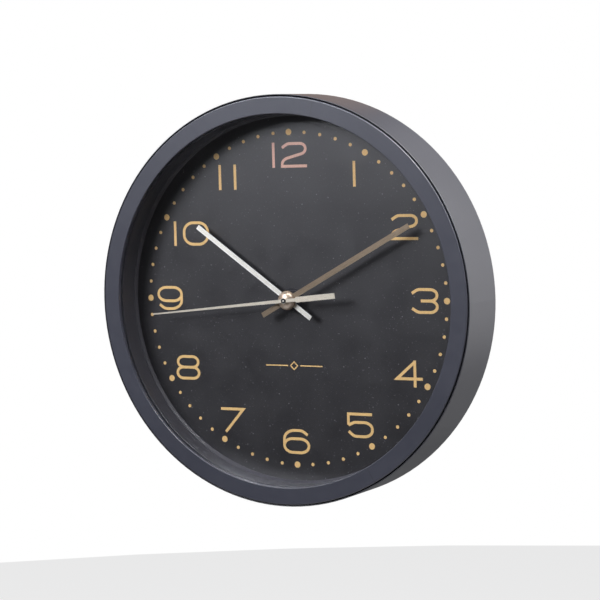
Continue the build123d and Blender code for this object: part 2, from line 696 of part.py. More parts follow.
def setting_knob(phases):
    """The knob in the back cover's pocket, its shaft and the pinion that turns the motion work."""
    knob = disc(KNOB_R, *KNOB_Z, KNOB_AXIS)
    knob = fillet(knob.edges().filter_by(GeomType.CIRCLE).group_by(Axis.Z)[0], 0.5)
    for step in range(KNOB_GROOVES):
        place = polar(KNOB_R + GROOVE_OFFSET, 360 / KNOB_GROOVES * step, KNOB_AXIS)
        knob -= disc(GROOVE_R, KNOB_Z[0] - 1, KNOB_Z[1] + 1, place)
    knob -= ring(*MARK_RING, KNOB_Z[0] - 1, KNOB_Z[0] + MARK_DEPTH, KNOB_AXIS)
    shaft = disc(KNOB_SHAFT_R, KNOB_Z[1], MOVEMENT_TOP - WALL - 0.1, KNOB_AXIS)
    pinion = gear(KNOB_PINION, WORKS_MODULE, WORKS_WHEEL_Z, KNOB_AXIS, phases["knob_pinion"])
    return knob + shaft + pinion


# motor and electronics
def motor_sides():
    """The left and right ends of the stator and of the core that bridges them."""
    reach = STATOR_LEG + STATOR_GAP
    return COIL_X[0] - reach, COIL_X[1] + reach


def stator():
    """A soft iron U with a round bore for the rotor's magnet."""
    left, right = motor_sides()
    plate = block((left, right), STATOR_BAR_Y, STATOR_Z)
    plate += block((left, left + STATOR_LEG), (STATOR_BAR_Y[0], STATOR_TOP_Y), STATOR_Z)
    plate += block((right - STATOR_LEG, right), (STATOR_BAR_Y[0], STATOR_TOP_Y), STATOR_Z)
    plate += disc(STATOR_BORE_R + STATOR_EYE, *STATOR_Z, ROTOR_AXIS)
    return plate - disc(STATOR_BORE_R, STATOR_Z[0] - 1, STATOR_Z[1] + 1, ROTOR_AXIS)


def coil_core():
    return block(motor_sides(), (COIL_Y - COIL_CORE_HALF, COIL_Y + COIL_CORE_HALF), CORE_Z)


def along_x(radius, x, centre_y, centre_z):
    rod = Cylinder(radius, x[1] - x[0], align=(Align.CENTER, Align.CENTER, Align.MIN))
    return Pos(x[0], centre_y, centre_z) * Rot(0, 90, 0) * rod


def coil_bobbin():
    middle = sum(CORE_Z) / 2
    flange_r = COIL_R + 0.4
    body = along_x(COIL_SLEEVE_R, COIL_X, COIL_Y, middle)
    body += along_x(flange_r, (COIL_X[0], COIL_X[0] + FLANGE_THICK), COIL_Y, middle)
    body += along_x(flange_r, (COIL_X[1] - FLANGE_THICK, COIL_X[1]), COIL_Y, middle)
    half = COIL_CORE_HALF
    return body - block((COIL_X[0] - 1, COIL_X[1] + 1), (COIL_Y - half, COIL_Y + half), CORE_Z)


def coil_winding():
    middle = sum(CORE_Z) / 2
    x = (COIL_X[0] + FLANGE_THICK, COIL_X[1] - FLANGE_THICK)
    return along_x(COIL_R, x, COIL_Y, middle) - along_x(COIL_SLEEVE_R, x, COIL_Y, middle)


def circuit_board():
    return block(BOARD_X, BOARD_Y, BOARD_Z)


def clock_chip():
    blob = disc(CHIP_R, BOARD_Z[1], BOARD_Z[1] + CHIP_HEIGHT, CHIP_PLACE)
    return fillet(blob.edges().filter_by(GeomType.CIRCLE).group_by(Axis.Z)[-1], CHIP_ROUND)


def quartz_crystal():
    can = Cylinder(CRYSTAL_R, CRYSTAL_LENGTH, align=(Align.CENTER, Align.CENTER, Align.MIN))
    return Pos(*CRYSTAL_PLACE, BOARD_Z[1] + CRYSTAL_R) * Rot(-90, 0, 0) * can


# battery
def battery_cell():
    """One AA cell along x, with its raised positive end on the right."""
    left = -BATTERY_LENGTH / 2
    right = BATTERY_LENGTH / 2
    cell = along_x(BATTERY_R, (left, right - BATTERY_NUB), BATTERY_Y, BATTERY_Z)
    cell = fillet(cell.edges().filter_by(GeomType.CIRCLE), BATTERY_ROUND)
    return cell + along_x(BATTERY_NUB_R, (right - BATTERY_NUB - 0.2, right), BATTERY_Y, BATTERY_Z)


def contact_positive():
    """A flat leaf on the bay's wall with a bump that meets the cell's raised end."""
    wall = MOVEMENT / 2 - WALL
    face = wall - CONTACT_THICK
    bump_y = (BATTERY_Y - CONTACT_BUMP, BATTERY_Y + CONTACT_BUMP)
    bump_z = (BATTERY_Z - CONTACT_BUMP, BATTERY_Z + CONTACT_BUMP)
    leaf_z = (BATTERY_Z - CONTACT_HALF, BATTERY_Z + CONTACT_HALF + 1)
    leaf = block((face, wall), (BATTERY_Y - CONTACT_HALF, BATTERY_Y + CONTACT_HALF), leaf_z)
    return leaf + block((BATTERY_LENGTH / 2 + CONTACT_GAP, face), bump_y, bump_z)


def contact_negative():
    """A bent leaf that presses on the flat end of the cell."""
    tip = -BATTERY_LENGTH / 2 - CONTACT_GAP
    wall = -MOVEMENT / 2 + WALL
    face = wall + CONTACT_THICK
    leaf_z = (BATTERY_Z - CONTACT_HALF + 1, BATTERY_Z + CONTACT_HALF + 1)
    leaf = block((wall, face), (BATTERY_Y - CONTACT_HALF, BATTERY_Y + CONTACT_HALF), leaf_z)
    outer = [(face, -CONTACT_HALF), (tip, -0.6), (tip, 0.6), (face, CONTACT_HALF)]
    inner = [(face, CONTACT_HALF - 0.8), (tip - CONTACT_THICK, 0.3), (tip - CONTACT_THICK, -0.3)]
    inner.append((face, -CONTACT_HALF + 0.8))
    bow = Pos(0, BATTERY_Y, BATTERY_Z - CONTACT_BUMP) * make_face(Polyline(*outer, *inner, close=True))
    return leaf + extrude(bow, 2 * CONTACT_BUMP)


# the clock
def build():
    phases = wheel_phases()
    keep("case_drum", case_drum())
    keep("mounting_ring", mounting_ring())
    keep("front_bezel", front_bezel())
    keep("glass_lens", glass_lens())
    keep("spacer_ring", spacer_ring())
    keep("dial", dial())
    keep("back_pan", back_pan())
    keep("case_screws", case_screws())
    keep("hour_hand", hour_hand())
    keep("minute_hand", minute_hand())
    keep("hub_cap", hub_cap())
    keep("second_hand", second_hand())
    keep("second_hand_ferrule", second_hand_ferrule())
    keep("dial_washer", dial_washer())
    keep("fixing_nut", fixing_nut())
    keep("rubber_washer", rubber_washer())
    keep("movement_front_case", movement_front_case())
    keep("movement_back_cover", movement_back_cover())
    keep("movement_plate", movement_plate())
    keep("hour_wheel", hour_wheel(phases))
    keep("minute_tube", minute_tube())
    keep("centre_wheel", centre_wheel(phases))
    keep("third_wheel", third_wheel(phases))
    keep("second_wheel", second_wheel())
    keep("intermediate_wheel", intermediate_wheel(phases))
    keep("rotor_pinion", rotor_pinion(phases))
    keep("rotor_magnet", rotor_magnet())
    keep("minute_works_wheel", minute_works_wheel(phases))
    keep("setting_knob", setting_knob(phases))
    keep("stator", stator())
    keep("coil_core", coil_core())
    keep("coil_bobbin", coil_bobbin())
    keep("coil_winding", coil_winding())
    keep("circuit_board", circuit_board())
    keep("clock_chip", clock_chip())
    keep("quartz_crystal", quartz_crystal())
    keep("battery_contact_positive", contact_positive())
    keep("battery_contact_negative", contact_negative())
    keep("battery_cell", battery_cell())


def save():
    """Turns every sub-part upright and writes it."""
    os.makedirs("parts", exist_ok=True)
    for name, shape in NODES.items():
        export_step(Rot(90, 0, 0) * shape, f"parts/{name}.step")


build()
save()
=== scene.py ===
"""Looks of the round quartz wall clock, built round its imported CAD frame.

Everything is in metres in the part's own frame: +Z is up towards twelve, -Y is out of the wall
towards the viewer and +X is towards three. Angles on the dial run clockwise from twelve.
"""

from math import ceil, cos, degrees, pi, radians, sin, tan

import bpy
from mathutils import Matrix, Vector


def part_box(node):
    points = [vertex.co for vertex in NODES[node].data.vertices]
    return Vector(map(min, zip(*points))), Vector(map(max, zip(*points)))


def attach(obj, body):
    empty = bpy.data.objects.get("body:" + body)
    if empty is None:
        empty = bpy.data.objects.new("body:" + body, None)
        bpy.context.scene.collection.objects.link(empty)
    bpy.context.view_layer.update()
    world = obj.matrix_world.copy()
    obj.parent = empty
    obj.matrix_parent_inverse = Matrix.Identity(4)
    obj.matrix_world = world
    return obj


MM = 0.001

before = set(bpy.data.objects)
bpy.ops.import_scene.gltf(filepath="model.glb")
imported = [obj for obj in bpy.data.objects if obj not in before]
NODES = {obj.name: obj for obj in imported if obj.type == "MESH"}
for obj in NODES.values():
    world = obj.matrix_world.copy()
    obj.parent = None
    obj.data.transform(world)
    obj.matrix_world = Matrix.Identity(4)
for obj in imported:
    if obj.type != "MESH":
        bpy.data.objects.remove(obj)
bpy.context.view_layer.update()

# The dial's front face
DIAL_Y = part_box("dial")[0].y

# The camera: its place round the target in degrees and metres, and its lens in millimetres
CAMERA_AZIMUTH, CAMERA_ELEVATION, CAMERA_ROLL = 27.559, 4.279, -1.556
CAMERA_DISTANCE = 1.15981
CAMERA_TARGET = (0.004764, DIAL_Y, -0.000336)
SENSOR_WIDTH, FOCAL_LENGTH = 36, 114.264

# The dial's print, in millimetres on the dial
STROKE = 1.75
HALF_STROKE = STROKE / 2
PRINT_RISE = 0.04
LAYER_RISE = 0.01
ARC_STEP_DEGREES = 9.0
DOT_RING_R = 101.8
LARGE_DOT_R = 1.95
SMALL_DOT_R = 1.05
DOT_SIDES = 28
ORNAMENT_X, ORNAMENT_Z, ORNAMENT_HALF = -0.5, -40.7, 19.5
ORNAMENT_GAP, LOZENGE_HALF, ORNAMENT_STROKE = 4.2, 2.4, 0.7

# The hands' angles, clockwise from twelve
HOUR_ANGLE, MINUTE_ANGLE, SECOND_ANGLE = 305.9, 61.4, 264.3

# Angles and half the width of the two mould seams across the bezel
BEZEL_SEAMS = (12.9, 149.7)
SEAM_HALF = 0.12 * MM

# Half the width of the hour hand between its rolled edges, which carry a painted highlight
HOUR_FLAT_HALF = 0.85 * MM

# Where the battery's printed band starts and its end caps start, along the cell
CELL_BAND_X, CELL_CAP_X = 10 * MM, 24.2 * MM

# The glass: its tint, how sharp its reflection is and the share it reflects seen face on
GLASS_TINT = (0.975, 0.975, 0.98, 1)
GLASS_ROUGHNESS = 0.02
FACE_ON_SHARE = 0.035
SCHLICK_POWER = 5.0

# Edges sharper than this stay sharp in smooth shading
SHARP_DEGREES = 30.0

# The stage, in metres
FLOOR_RADIUS, FLOOR_Z, FLOOR_GLOW = 6.0, -1.4, 0.75
ROOM_COLOUR, ROOM_STRENGTH = (0.96, 0.96, 1.0, 1), 0.05


# ---------------------------------------------------------------- camera
def make_camera():
    """A long lens to the right of the clock and a little above it, with a slight roll."""
    azimuth, elevation, roll = radians(CAMERA_AZIMUTH), radians(CAMERA_ELEVATION), radians(CAMERA_ROLL)
    back = Vector((sin(azimuth) * cos(elevation), -cos(azimuth) * cos(elevation), sin(elevation)))
    right = Vector((cos(azimuth), sin(azimuth), 0))
    up = back.cross(right)
    x_axis = cos(roll) * right + sin(roll) * up
    y_axis = cos(roll) * up - sin(roll) * right
    data = bpy.data.cameras.new("camera")
    data.sensor_width = SENSOR_WIDTH
    data.lens = FOCAL_LENGTH
    camera = bpy.data.objects.new("camera", data)
    turn = Matrix((x_axis, y_axis, back)).transposed()
    place = Vector(CAMERA_TARGET) + back * CAMERA_DISTANCE
    camera.matrix_world = Matrix.Translation(place) @ turn.to_4x4()
    bpy.context.scene.collection.objects.link(camera)
    bpy.context.scene.camera = camera


make_camera()


# ---------------------------------------------------------------- material helper
class Look:
    """A Principled material and shorthands for the nodes that feed it."""

    def __init__(self, name, **sockets):
        self.material = bpy.data.materials.new(name)
        self.material.use_nodes = True
        self.tree = self.material.node_tree
        self.surface = self.tree.nodes["Principled BSDF"]
        for socket, value in sockets.items():
            self.surface.inputs[socket.replace("_", " ")].default_value = value
        self.place = self.node("ShaderNodeTexCoord").outputs["Object"]

    def node(self, kind, **settings):
        """A new node with these settings."""
        made = self.tree.nodes.new(kind)
        for key, value in settings.items():
            setattr(made, key, value)
        return made

    def link(self, source, target):
        self.tree.links.new(source, target)

    def feed(self, socket, source):
        """Links a source to one of the shader's own sockets."""
        self.link(source, self.surface.inputs[socket])

    def turned(self, angle, stretch=(1, 1, 1)):
        """Object coordinates turned so that z runs along a hand at this angle, then stretched."""
        mapping = self.node("ShaderNodeMapping", vector_type="TEXTURE")
        mapping.inputs["Rotation"].default_value = (0, radians(angle), 0)
        mapping.inputs["Scale"].default_value = stretch
        self.link(self.place, mapping.inputs["Vector"])
        return mapping.outputs["Vector"]

    def along(self, direction):
        """How far each point lies from the origin along a direction."""
        made = self.node("ShaderNodeVectorMath", operation="DOT_PRODUCT")
        made.inputs[1].default_value = direction
        self.link(self.place, made.inputs[0])
        return made.outputs["Value"]

    def x_of(self, place):
        """The x coordinate of each point."""
        made = self.node("ShaderNodeSeparateXYZ")
        self.link(place, made.inputs["Vector"])
        return made.outputs["X"]

    def noise(self, per_mm, detail, place=None, roughness=0.5):
        """Noise with this many waves in a millimetre."""
        made = self.node("ShaderNodeTexNoise")
        made.inputs["Scale"].default_value = per_mm / MM
        made.inputs["Detail"].default_value = detail
        made.inputs["Roughness"].default_value = roughness
        self.link(place or self.place, made.inputs["Vector"])
        return made.outputs["Fac"]

    def spread(self, source, low, high, start=0.3, end=0.7):
        """Maps a value from start..end to low..high."""
        made = self.node("ShaderNodeMapRange")
        made.inputs["From Min"].default_value = start
        made.inputs["From Max"].default_value = end
        made.inputs["To Min"].default_value = low
        made.inputs["To Max"].default_value = high
        self.link(source, made.inputs["Value"])
        return made.outputs["Result"]

    def blend(self, factor, first, second):
        """A colour between two others; each is a colour or a socket."""
        made = self.node("ShaderNodeMix", data_type="RGBA")
        self.link(factor, made.inputs["Factor"])
        for socket, value in ((made.inputs[6], first), (made.inputs[7], second)):
            if isinstance(value, bpy.types.NodeSocket):
                self.link(value, socket)
            else:
                socket.default_value = (*value, 1)
        return made.outputs[2]

    def math(self, operation, first, second=0.0):
        """One step of arithmetic or comparison; each value is a number or a socket."""
        made = self.node("ShaderNodeMath", operation=operation)
        for socket, value in zip(made.inputs, (first, second)):
            if isinstance(value, bpy.types.NodeSocket):
                self.link(value, socket)
            else:
                socket.default_value = value
        return made.outputs[0]

    def bump(self, source, height_mm):
        """Fine relief of this full height."""
        made = self.node("ShaderNodeBump")
        made.inputs["Distance"].default_value = height_mm * MM
        self.link(source, made.inputs["Height"])
        self.feed("Normal", made.outputs["Normal"])


def plastic(name, dark, light, roughness, grain_mm=0.01, per_mm=2.0, coat=0.0):
    """Moulded plastic: a soft change of tone, a fine moulded grain and uneven gloss."""
    look = Look(name, Coat_Weight=coat, Coat_Roughness=0.2)
    tone = look.spread(look.noise(0.03, 3), 0, 1)
    look.feed("Base Color", look.blend(tone, dark, light))
    look.feed("Roughness", look.spread(look.noise(0.2, 4), roughness - 0.05, roughness + 0.06))
    look.bump(look.noise(per_mm, 3), grain_mm)
    return look


def metal(name, dark, light, roughness, angle=0.0, stretch=(1, 1, 20), per_mm=6.0, grain_mm=0.004):
    """Metal with a grain stretched along one direction."""
    look = Look(name, Metallic=1.0)
    grain = look.noise(per_mm, 3, look.turned(angle, stretch))
    look.feed("Base Color", look.blend(look.spread(grain, 0, 1), dark, light))
    look.feed("Roughness", look.spread(grain, roughness - 0.07, roughness + 0.09))
    look.bump(grain, grain_mm)
    return look


# ---------------------------------------------------------------- materials
def drum_look():
    """Satin charcoal plastic with a very fine even grain."""
    look = Look("drum_plastic")
    tone = look.spread(look.noise(0.012, 2), 0, 1)
    look.feed("Base Color", look.blend(tone, (0.034, 0.034, 0.041), (0.039, 0.039, 0.047)))
    look.feed("Roughness", look.spread(look.noise(1.4, 3), 0.345, 0.375))
    look.bump(look.noise(3.0, 3), 0.004)
    return look


def bezel_look():
    """Satin blue-grey plastic, crossed by two hairline mould seams."""
    look = Look("bezel_plastic", Coat_Weight=0.45, Coat_Roughness=0.14)
    tone = look.spread(look.noise(0.02, 3), 0, 1)
    colour = look.blend(tone, (0.031, 0.0325, 0.0455), (0.038, 0.0395, 0.054))
    seams = 0.0
    for angle in BEZEL_SEAMS:
        turn = radians(angle)
        across = look.along((cos(turn), 0, -sin(turn)))
        outward = look.along((sin(turn), 0, cos(turn)))
        near = look.math("LESS_THAN", look.math("ABSOLUTE", across), SEAM_HALF)
        side = look.math("GREATER_THAN", outward, 0.0)
        seams = look.math("MAXIMUM", look.math("MULTIPLY", near, side), seams)
    look.feed("Base Color", look.blend(seams, colour, (0.02, 0.02, 0.025)))
    look.feed("Roughness", look.spread(look.noise(0.15, 4), 0.34, 0.44))
    look.bump(look.noise(3.0, 3), 0.0008)
    return look


def dial_look():
    """Satin charcoal paint with an orange peel, a fine pigment grain, dust and a few pale specks."""
    look = Look("dial_paint", Specular_IOR_Level=0.95)
    fine = look.spread(look.noise(2.2, 4, roughness=0.7), 0, 1)
    colour = look.blend(fine, (0.0066, 0.006, 0.0077), (0.012, 0.0111, 0.0137))
    dust = look.spread(look.noise(1.1, 1.0), 0, 1, 0.7, 0.78)
    colour = look.blend(dust, colour, (0.11, 0.11, 0.12))
    speck = look.node("ShaderNodeTexVoronoi")
    speck.inputs["Scale"].default_value = 0.16 / MM
    look.link(look.place, speck.inputs["Vector"])
    near = look.spread(speck.outputs["Distance"], 1, 0, 0.035, 0.07)
    colour = look.blend(near, colour, (0.17, 0.17, 0.18))
    look.feed("Base Color", colour)
    look.feed("Roughness", look.spread(look.noise(0.05, 4), 0.34, 0.42))
    look.bump(look.noise(1.2, 3), 0.003)
    return look


def glass_look():
    """Thin clear glass: what lies behind shows unbent, with a mirror sheen by angle."""
    material = bpy.data.materials.new("clear_glass")
    material.use_nodes = True
    tree = material.node_tree
    tree.nodes.remove(tree.nodes["Principled BSDF"])
    clear = tree.nodes.new("ShaderNodeBsdfTransparent")
    clear.inputs["Color"].default_value = GLASS_TINT
    gloss = tree.nodes.new("ShaderNodeBsdfGlossy")
    gloss.inputs["Roughness"].default_value = GLASS_ROUGHNESS
    tilt = tree.nodes.new("ShaderNodeLayerWeight")
    tilt.inputs["Blend"].default_value = 0.5
    power = tree.nodes.new("ShaderNodeMath")
    power.operation = "POWER"
    power.inputs[1].default_value = SCHLICK_POWER
    tree.links.new(tilt.outputs["Facing"], power.inputs[0])
    share = tree.nodes.new("ShaderNodeMapRange")
    share.inputs["To Min"].default_value = FACE_ON_SHARE
    tree.links.new(power.outputs["Value"], share.inputs["Value"])
    mix = tree.nodes.new("ShaderNodeMixShader")
    tree.links.new(share.outputs["Result"], mix.inputs["Fac"])
    tree.links.new(clear.outputs["BSDF"], mix.inputs[1])
    tree.links.new(gloss.outputs["BSDF"], mix.inputs[2])
    tree.links.new(mix.outputs["Shader"], tree.nodes["Material Output"].inputs["Surface"])
    return material


def print_look(name, dark, light):
    """Matt screen print: a fine pigment grain and slightly uneven ink."""
    look = Look(name)
    ink = look.spread(look.noise(2.5, 4), 0, 1)
    look.feed("Base Color", look.blend(ink, dark, light))
    look.feed("Roughness", look.spread(look.noise(0.6, 2), 0.45, 0.6))
    look.bump(look.noise(6.0, 2), 0.004)
    return look


def hour_look():
    """Satin silver with a fine grain across the hand, and a painted highlight on its rolled long edges."""
    look = Look("satin_silver", Metallic=1.0)
    grain = look.noise(3.2, 3, look.turned(HOUR_ANGLE, (14, 1, 1)))
    colour = look.blend(look.spread(grain, 0, 1), *SATIN_SILVER)
    across = look.x_of(look.turned(HOUR_ANGLE))
    # Painted highlight: outside the flat middle, the long edges are painted paler, as if catching the light.
    edge = look.math("GREATER_THAN", look.math("ABSOLUTE", across), HOUR_FLAT_HALF)
    look.feed("Base Color", look.blend(edge, colour, (0.97, 0.965, 0.9)))
    look.feed("Roughness", look.spread(grain, 0.38, 0.54))
    look.bump(grain, 0.006)
    return look


def cap_look():
    """Metal with fine scratches and a soft gloss, painted warm brown to peach as a painted reflection of warm
    surroundings.
    """
    look = Look("cap_painted_reflection", Metallic=0.62, Coat_Weight=0.6, Coat_Roughness=0.08)
    reflection_tone = look.noise(0.35, 3)
    # Painted reflection: the brown and peach tones stand for what the dome reflects.
    colour = look.blend(look.spread(reflection_tone, 0, 1), (0.5, 0.36, 0.25), (0.74, 0.62, 0.5))
    look.feed("Base Color", colour)
    scratches = look.noise(5.0, 4, look.turned(35.0, (1, 1, 14)))
    look.feed("Roughness", look.spread(scratches, 0.26, 0.4))
    look.bump(scratches, 0.006)
    return look


def coil_look():
    """Enamelled wire, wound in fine turns along x."""
    look = Look("copper_wire", Metallic=1.0)
    wave = look.node("ShaderNodeTexWave", bands_direction="X")
    wave.inputs["Scale"].default_value = 2 / MM
    look.link(look.place, wave.inputs["Vector"])
    look.feed("Base Color", look.blend(wave.outputs["Fac"], (0.36, 0.12, 0.05), (0.75, 0.36, 0.2)))
    look.feed("Roughness", look.spread(look.noise(1.0, 2), 0.25, 0.4))
    look.bump(wave.outputs["Fac"], 0.05)
    return look


def cell_look():
    """A plain printed jacket: dark, with a copper band at the positive end and bare metal ends."""
    look = Look("cell_jacket", Metallic=0.6)
    x = look.x_of(look.place)
    band = look.math("GREATER_THAN", x, CELL_BAND_X)
    colour = look.blend(band, (0.05, 0.052, 0.06), (0.5, 0.27, 0.12))
    cap = look.math("GREATER_THAN", look.math("ABSOLUTE", x), CELL_CAP_X)
    look.feed("Base Color", look.blend(cap, colour, (0.6, 0.6, 0.6)))
    look.feed("Roughness", look.spread(look.noise(0.4, 3), 0.25, 0.4))
    look.bump(look.noise(1.5, 3), 0.006)
    return look


# Dark and light tones of the hands' metals
SATIN_SILVER = ((0.84, 0.81, 0.72), (0.99, 0.965, 0.865))
# The minute hand's silver is painted darker and warmer: painted shade standing for its dimmer reflection.
SHADED_SILVER = ((0.3, 0.232, 0.158), (0.43, 0.343, 0.245))
WARM_SILVER = ((0.78, 0.71, 0.58), (0.98, 0.91, 0.76))

NO_STRETCH = (1, 1, 1)
LOOKS = {
    "drum": drum_look(),
    "bezel": bezel_look(),
    "spacer": plastic("spacer_plastic", (0.062, 0.061, 0.072), (0.071, 0.07, 0.083), 0.4, 0.001, coat=0.3),
    "dial": dial_look(),
    "pan": plastic("pan_plastic", (0.02, 0.02, 0.022), (0.034, 0.034, 0.036), 0.5, 0.03, 1.5),
    "hour": hour_look(),
    "minute": metal("silver_painted_shade", *SHADED_SILVER, 0.36, MINUTE_ANGLE),
    "second": metal("warm_silver", *WARM_SILVER, 0.4, SECOND_ANGLE),
    "cap": cap_look(),
    # Painted shade: the ferrule is made near-black to stand for the shaded hole at the hub.
    "ferrule": metal(
        "ferrule_painted_hole_shade", (0.06, 0.055, 0.055), (0.12, 0.12, 0.13), 0.3, 0.0, NO_STRETCH, 4.0, 0.003
    ),
    "steel": metal("plain_steel", (0.4, 0.4, 0.41), (0.55, 0.55, 0.56), 0.35),
    "brass": metal("turned_brass", (0.62, 0.42, 0.16), (0.78, 0.56, 0.25), 0.28),
    # Painted shade: the washer and nut are made near-black so they read as the shade around the hub.
    "black_steel": plastic(
        "washer_nut_painted_shade", (0.012, 0.0112, 0.0148), (0.019, 0.018, 0.0225), 0.42, 0.004, 3.0
    ),
    "rubber": plastic("black_rubber", (0.012, 0.012, 0.012), (0.022, 0.022, 0.022), 0.75, 0.02, 3.0),
    "movement": plastic("movement_plastic", (0.014, 0.014, 0.016), (0.026, 0.026, 0.028), 0.48, 0.04, 2.5),
    "gears": plastic("acetal", (0.68, 0.66, 0.6), (0.8, 0.78, 0.73), 0.4, 0.004),
    "magnet": metal(
        "sintered_magnet", (0.07, 0.07, 0.08), (0.14, 0.14, 0.15), 0.5, 0.0, NO_STRETCH, 4.0, 0.02
    ),
    "iron": metal("soft_iron", (0.33, 0.33, 0.35), (0.48, 0.48, 0.5), 0.4),
    "bobbin": plastic("nylon", (0.6, 0.56, 0.46), (0.74, 0.7, 0.6), 0.45),
    "copper": coil_look(),
    "board": plastic("fibre_board", (0.03, 0.11, 0.05), (0.05, 0.17, 0.08), 0.4, 0.02, 6.0, 0.3),
    "chip": plastic("resin_blob", (0.006, 0.006, 0.007), (0.012, 0.012, 0.013), 0.22),
    "contact": metal("nickel_spring", (0.55, 0.54, 0.5), (0.7, 0.69, 0.65), 0.25),
    "cell": cell_look(),
    "gold": print_look("gold_print", (0.74, 0.47, 0.17), (0.9, 0.6, 0.25)),
    "rose": print_look("rose_print", (0.7, 0.4, 0.305), (0.82, 0.5, 0.385)),
}
GLASS = glass_look()

LOOK_NODES = {
    "drum": ("case_drum",),
    "pan": ("mounting_ring", "back_pan"),
    "bezel": ("front_bezel",),
    "spacer": ("spacer_ring",),
    "dial": ("dial",),
    "steel": ("case_screws",),
    "hour": ("hour_hand",),
    "minute": ("minute_hand",),
    "cap": ("hub_cap",),
    "second": ("second_hand",),
    "ferrule": ("second_hand_ferrule",),
    "black_steel": ("dial_washer", "fixing_nut"),
    "rubber": ("rubber_washer",),
    "movement": ("movement_front_case", "movement_back_cover", "setting_knob"),
    "gears": (
        "movement_plate", "hour_wheel", "centre_wheel", "third_wheel", "second_wheel",
        "intermediate_wheel", "rotor_pinion", "minute_works_wheel",
    ),
    "brass": ("minute_tube",),
    "magnet": ("rotor_magnet",),
    "iron": ("stator", "coil_core"),
    "bobbin": ("coil_bobbin",),
    "copper": ("coil_winding",),
    "board": ("circuit_board",),
    "chip": ("clock_chip",),
    "contact": ("quartz_crystal", "battery_contact_positive", "battery_contact_negative"),
    "cell": ("battery_cell",),
}


def paint(obj, material):
    """Gives an object one material."""
    obj.data.materials.clear()
    obj.data.materials.append(material)


def shade(obj):
    """Smooth shading that breaks at sharp edges."""
    obj.data.shade_smooth()
    obj.data.set_sharp_from_angle(angle=radians(SHARP_DEGREES))


for look, names in LOOK_NODES.items():
    for name in names:
        paint(NODES[name], LOOKS[look].material)
paint(NODES["glass_lens"], GLASS)
for node in NODES.values():
    shade(node)


# ---------------------------------------------------------------- mesh helpers
def piece(name, vertices, faces, body, material):
    """A mesh piece, given in metres, that rides on a body."""
    mesh = bpy.data.meshes.new(name)
    mesh.from_pydata(vertices, [], faces)
    mesh.validate()
    obj = bpy.data.objects.new(name, mesh)
    bpy.context.scene.collection.objects.link(obj)
    paint(obj, material)
    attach(obj, body)


def rounded_path(corners, closed):
    """The points of a line through (x, z, radius) corners, with each corner rounded by an arc."""
    points = []
    count = len(corners)
    for i, (x, z, radius) in enumerate(corners):
        here = Vector((x, z))
        if radius == 0 or (not closed and i in (0, count - 1)):
            points.append(here)
            continue
        before = (Vector(corners[i - 1][:2]) - here).normalized()
        after = (Vector(corners[(i + 1) % count][:2]) - here).normalized()
        half = before.angle(after) / 2
        reach = radius / tan(half)
        centre = here + (before + after).normalized() * radius / sin(half)
        first = here + before * reach - centre
        last = here + after * reach - centre
        turn = first.angle_signed(last)
        steps = max(2, ceil(abs(degrees(turn)) / ARC_STEP_DEGREES))
        for s in range(steps + 1):
            angle = -turn * s / steps
            points.append(centre + Matrix.Rotation(angle, 2) @ first)
    return points


class Print:
    """Collects flat printed shapes, in millimetres on the dial, into one thin raised mesh."""

    def __init__(self):
        self.vertices = []
        self.faces = []
        self.layers = 0

    def solid(self, left, right, closed):
        """A strip between two lines of points, raised off the dial; every other strip is a little higher."""
        base = len(self.vertices)
        count = len(left)
        self.layers += 1
        for rise in (0.0, PRINT_RISE + LAYER_RISE * (self.layers % 2)):
            for side in (left, right):
                for x, z in side:
                    self.vertices.append((x * MM, DIAL_Y - rise * MM, z * MM))
        low_left, low_right, top_left, top_right = (base + k * count for k in range(4))
        for i in range(count if closed else count - 1):
            j = (i + 1) % count
            self.faces.append((top_left + i, top_left + j, top_right + j, top_right + i))
            self.faces.append((low_left + i, low_left + j, top_left + j, top_left + i))
            self.faces.append((low_right + j, low_right + i, top_right + i, top_right + j))
        if not closed:
            end = count - 1
            self.faces.append((low_left, top_left, top_right, low_right))
            self.faces.append((low_right + end, top_right + end, top_left + end, low_left + end))

    def stroke(self, corners, closed=False, width=STROKE, wide=1.0):
        """A pen stroke of even width along a rounded path, its corners wide times as wide as high."""
        points = rounded_path([(x / wide, z, radius) for x, z, radius in corners], closed)
        points = [Vector((point.x * wide, point.y)) for point in points]
        left, right = [], []
        count = len(points)
        for i, point in enumerate(points):
            before = points[i - 1] if i or closed else None
            after = points[(i + 1) % count] if i < count - 1 or closed else None
            into = (point - before).normalized() if before is not None else None
            out = (after - point).normalized() if after is not None else None
            into, out = into or out, out or into
            middle = (into + out).normalized()
            reach = width / 2 / max(0.25, middle.dot(out))
            normal = Vector((-middle.y, middle.x)) * reach
            left.append(point + normal)
            right.append(point - normal)
        self.solid(left, right, closed)

    def disc(self, x, z, radius):
        """A raised round dot."""
        base, top = len(self.vertices), len(self.vertices) + DOT_SIDES
        for rise in (0.0, PRINT_RISE):
            for i in range(DOT_SIDES):
                turn = 2 * pi * i / DOT_SIDES
                spot = ((x + radius * cos(turn)) * MM, DIAL_Y - rise * MM, (z + radius * sin(turn)) * MM)
                self.vertices.append(spot)
        self.faces.append(tuple(top + i for i in range(DOT_SIDES)))
        for i in range(DOT_SIDES):
            j = (i + 1) % DOT_SIDES
            self.faces.append((base + i, base + j, top + j, top + i))

    def build(self, name, look):
        """Makes the collected shapes a piece of the case."""
        piece(name, self.vertices, self.faces, "case", LOOKS[look].material)


